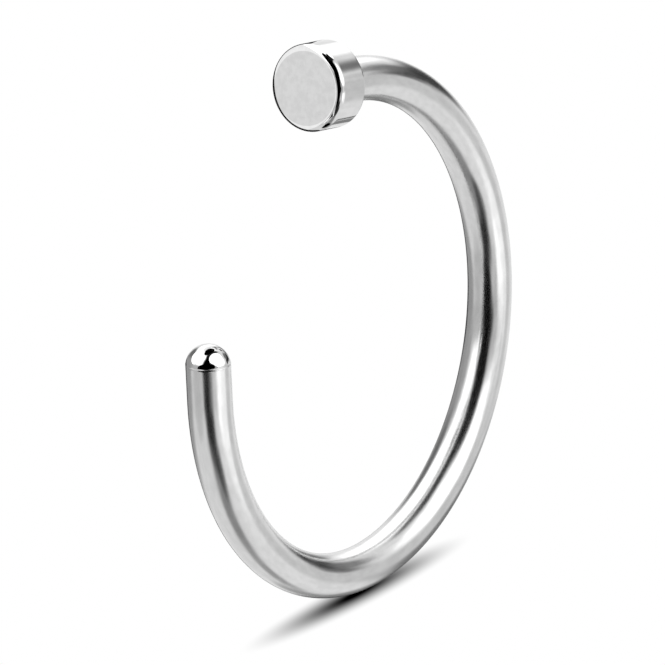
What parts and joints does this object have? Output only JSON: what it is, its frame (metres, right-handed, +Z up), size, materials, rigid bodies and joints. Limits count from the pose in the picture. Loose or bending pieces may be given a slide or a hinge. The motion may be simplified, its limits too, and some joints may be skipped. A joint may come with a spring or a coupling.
{
  "type": "nose ring",
  "caption": "Open steel nose hoop: a round wire bent into a C, with a domed tip at one end and a flat round head at the other.",
  "frame": {"origin": "middle of the hoop's box in plan, on the surface that it lies on", "axes": "+Z up, with the hoop lying on its side; the open mouth towards +X; the domed tip towards +Y and the flat head towards -Y"},
  "size_m": [0.0094, 0.0098, 0.0016],
  "materials": {
    "steel": "mirror polished"
  },
  "bodies": {
    "root": {"nose_hoop": "steel"}
  },
  "joints": []
}
